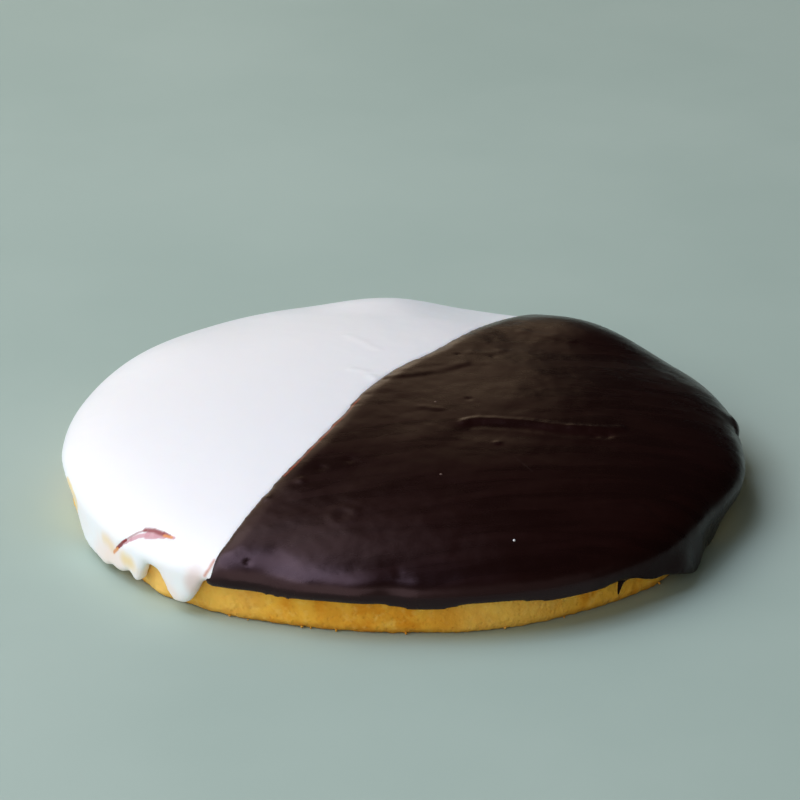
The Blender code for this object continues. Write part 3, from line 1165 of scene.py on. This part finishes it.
# Values of the shaders' own sockets
SUGAR_SHADER = {
    "Base Color": SUGAR,
    "Roughness": 0.38,
    "Sheen Weight": 0.5,
    "Sheen Tint": (0.8, 0.93, 1.0, 1),
    "Subsurface Weight": 0.25,
    "Subsurface Radius": (1.0, 0.75, 0.6),
    "Subsurface Scale": 1.2 * MM,
}
COCOA_SHADER = {"Base Color": COCOA, "Roughness": 0.3, "Specular Tint": (1.0, 0.68, 0.76, 1)}
CRUMB_SHADER = {
    "Base Color": CRUST,
    "Roughness": 0.8,
    "Specular IOR Level": 0.25,
    "Subsurface Weight": 0.15,
    "Subsurface Radius": (1.0, 0.5, 0.2),
    "Subsurface Scale": 1.0 * MM,
}
FLOOR_SHADER = {"Base Color": FLOOR, "Roughness": 0.75}

# Roughness off and on the strokes of each icing, and the levels of the strokes between the two
SUGAR_ROUGHNESS = (0.36, 0.42)
COCOA_ROUGHNESS = (0.24, 0.32)
STROKE_LEVELS = (0.3, 0.7)

# The white icing turns creamy from one height in mm down to another, in clouds of these levels
THIN_HEIGHTS = (9.0, 4.0)
THIN_LEVELS = (0.35, 0.65)

# Chocolate: levels of its lighter strokes, and how light and how high in mm its specks are
COCOA_LEVELS = (0.35, 0.7)
SPECK_SHARE = 0.7
SPECK_HEIGHT = 0.06

# Shine of the chocolate, and of its duller part: where its right wall faces the floor, in mm
COCOA_SHINE = (0.38, 0.14)
DULL_MIDDLE = (56.0, -3.0, 4.0)
DULL_SIZE = (11.0, 32.0, 8.5)

# Cake: heights in mm from which and to which its foot darkens, levels of its pale clouds, and the
# shares of the dark foot, the painted shade in the pores and the pale clouds
FOOT_HEIGHTS = (1.6, 0.0)
PALE_LEVELS = (0.5, 0.72)
FOOT_SHARE = 0.6
PORE_SHADE_SHARE = 0.08
PALE_SHARE = 0.5

# Floor: levels of its clouds, and its side in metres
FLOOR_LEVELS = (0.3, 0.7)
FLOOR_SIZE = 4

# Coloured patches of the white icing, in mm: middle, size, softness, colour, share
SUGAR_PATCHES = (
    ((-24.0, -50.0, 2.5), (7.5, 5.0, 4.5), 0.5, THIN_SUGAR, 0.8),
    ((-6.0, -56.5, 6.5), (1.8, 2.0, 2.5), 0.6, CAKE_GLOW, 0.3),
)

# Coloured lines of the white icing, in mm: stops, reach, softness, colour, share
SUGAR_LINES = (
    (((-27.3, -49.7, 6.1), (-26.1, -50.3, 6.2), (-24.9, -50.8, 5.6)), 0.8, 0.8, GLAZE, 0.5),
    (((-21.4, -52.2, 5.1), (-19.8, -52.9, 5.1), (-18.8, -52.4, 4.4)), 1.1, 0.9, GLAZE, 0.8),
    (((-42.0, -37.8, 7.2), (-40.3, -39.8, 7.0), (-38.2, -41.8, 6.4)), 1.3, 0.25, GLAZE, 0.9),
    (((-3.5, -54.9, 10.2), (-3.7, -55.9, 9.3), (-4.2, -56.6, 8.1)), 0.2, 0.35, CAKE_GLOW, 0.85),
)

# Coloured lines of the tear, likewise: painted shade in pink inside it, then painted deeper shade in red
# and the cake's orange along its edge
TEAR_LINES = (
    (TEAR[1:3], 0.1, 0.12, TEAR_SHADE_PINK, 0.9),
    (TEAR[2:4], 0.2, 0.12, TEAR_SHADE_PINK, 0.9),
    (TEAR[3:6], 0.38, 0.15, TEAR_SHADE_PINK, 0.9),
    (TEAR[5:7], 0.75, 0.15, TEAR_SHADE_PINK, 0.9),
    (TEAR[6:8], 0.5, 0.15, TEAR_SHADE_PINK, 0.9),
    (TEAR[7:], 0.25, 0.15, TEAR_SHADE_PINK, 0.9),
    (((-23.6, -51.6, 6.0), (-22.7, -52.0, 7.0), (-21.5, -52.5, 8.4)), 0.24, 0.1, TEAR_DEEP_SHADE_RED, 1.0),
    (
        ((-21.5, -52.5, 8.4), (-20.4, -52.3, 9.3), (-19.4, -52.0, 10.0), (-18.0, -51.7, 10.6)),
        0.15, 0.1, TEAR_DEEP_SHADE_RED, 0.6,
    ),
    (((-18.2, -51.7, 10.6), (-16.6, -51.7, 10.9), (-14.7, -52.3, 11.0)), 0.36, 0.25, TEAR_DEEP_SHADE_RED, 0.9),
    (((-14.7, -52.1, 11.1), (-13.4, -52.5, 11.1)), 0.22, 0.15, TEAR_DEEP_SHADE_RED, 0.8),
    (((-24.3, -50.9, 4.8), (-23.3, -51.5, 5.9)), 0.28, 0.15, TEAR_ORANGE, 0.95),
    (((-14.4, -52.5, 10.9), (-12.8, -52.7, 11.0)), 0.22, 0.15, TEAR_ORANGE, 0.85),
)

# Places in mm on the line between the icings, where the chocolate thins to red
THIN_BORDER = (
    (-3.9, -8.2, 19.3), (-3.7, -10.9, 19.2), (-3.0, -14.8, 19.1), (-3.0, -18.4, 18.7), (-2.6, -22.0, 18.5),
    (-2.6, -25.4, 18.1), (-2.5, -28.7, 17.7), (-2.5, -31.8, 17.2), (-2.6, -34.9, 16.7),
)

# Coloured lines of the chocolate, in mm: stops, reach, softness, colour, share
COCOA_LINES = (
    (((22.2, -9.8, 18.2), (22.5, -9.9, 18.2)), 0.2, 0.12, COCOA_SPECK, 0.6),
    (((47.0, -0.6, 12.2), (47.3, -0.6, 12.2)), 0.2, 0.12, COCOA_SPECK, 0.5),
    (((30.8, 45.0, 10.5), (33.4, 43.9, 10.2), (37.2, 41.4, 9.8)), 0.35, 0.3, COCOA_RED, 0.7),
    (((22.3, -9.7, 18.1), (25.8, -11.8, 17.6), (31.3, -14.6, 16.7)), 0.13, 0.12, COCOA_SPECK, 0.14),
    (THIN_BORDER, 0.2, 0.2, COCOA_THIN, 0.7),
)

# Paler and browner patches of the cake, in mm: middle, size, softness, colour, share; the bare patch
# beside the white icing's skirt is made lighter as painted light
CRUST_PATCHES = (
    ((-4.0, -55.0, 4.0), (9.0, 4.0, 5.0), 0.4, CRUST_PALE, 0.5),
    ((38.0, -38.0, 4.0), (9.0, 12.0, 5.0), 0.4, CRUST_PALE, 0.45),
    # Painted light on the bare cake beside the white icing's skirt
    ((-17.0, -53.0, 4.0), (5.5, 4.0, 4.0), 0.3, BARE_CAKE_PAINTED_LIGHT, 0.9),
    ((-43.0, -36.0, 5.0), (6.0, 8.0, 5.0), 0.4, CRUST_PALE, 0.9),
    ((16.0, -52.5, 3.0), (3.0, 3.0, 3.0), 0.5, CRUST_BROWN, 0.8),
    ((32.0, -44.0, 3.0), (4.0, 3.0, 3.0), 0.4, CRUST_BROWN, 0.6),
)

# Spatula strokes: their direction in plan, and the size of their grain in mm along, across and down
STROKE_TURN = math.radians(42)
STROKE_SIZE = (22.0, 3.0, 5.0)

# Lights, all as far from the middle as the first value says, in metres: name, bearing and height
# in degrees, size in metres, power in watts, colour
LIGHT_DISTANCE = 1.2
LIGHTS = (
    ("window", 208, 31, (1.0, 0.8), 4.3, (0.93, 1.01, 1.08)),
    ("front_left", 255, 24, (2.0, 1.05), 7.2, (1.0, 0.96, 0.93)),
    ("high_left", 228.7, 60, (0.8, 0.8), 6.3, (0.9, 0.96, 1.2)),
    ("high_back", 174, 58, (0.8, 0.8), 2.4, (0.98, 0.92, 0.92)),
    ("front", -50, 25, (2.4, 1.1), 2.2, (1.0, 0.95, 0.82)),
    ("horizon", 142, 10, (1.0, 0.35), 0.95, (1.0, 0.84, 0.62)),
    ("backdrop", 136, 20, (1.0, 0.5), 0.62, (1.0, 0.74, 0.46)),
    ("side_wall", 165, 40, (0.9, 0.9), 1.5, (1.0, 0.8, 0.62)),
)
ROOM_COLOUR = (0.85, 0.9, 0.95, 1)
ROOM_STRENGTH = 0.01

# Pieces: the two icings, the cake, its crumbs and the specks
whole = whole_icing()
white = icing(whole, "white_icing_skin", -1, WHITE_UNDERLAP)
chocolate = icing(whole, "chocolate_icing_skin", 1, 0)
mark_white(white)
mark_chocolate(chocolate)
bpy.data.objects.remove(whole)
cake = cake_body()
crumb_relief(cake)
grain = first_grain()
crumbs = foot_crumbs(grain, cake)
specks = sugar_specks(grain, chocolate)
bpy.data.objects.remove(grain)

# Materials, and which piece wears which
LINE_MASK = line_mask_group()
PATCH_MASK = patch_mask_group()
SPECK_MASK = speck_mask_group()
SET_ICING = set_icing_group()
CRUMB = crumb_group()
golden = crumb_material()
sugar = sugar_material()
cocoa = cocoa_material()
finish_piece(cake, golden, "cake")
finish_piece(white, sugar, "white_icing")
finish_piece(chocolate, cocoa, "chocolate_icing")
finish_piece(crumbs, golden)
finish_piece(specks, sugar)

studio()
add_camera()
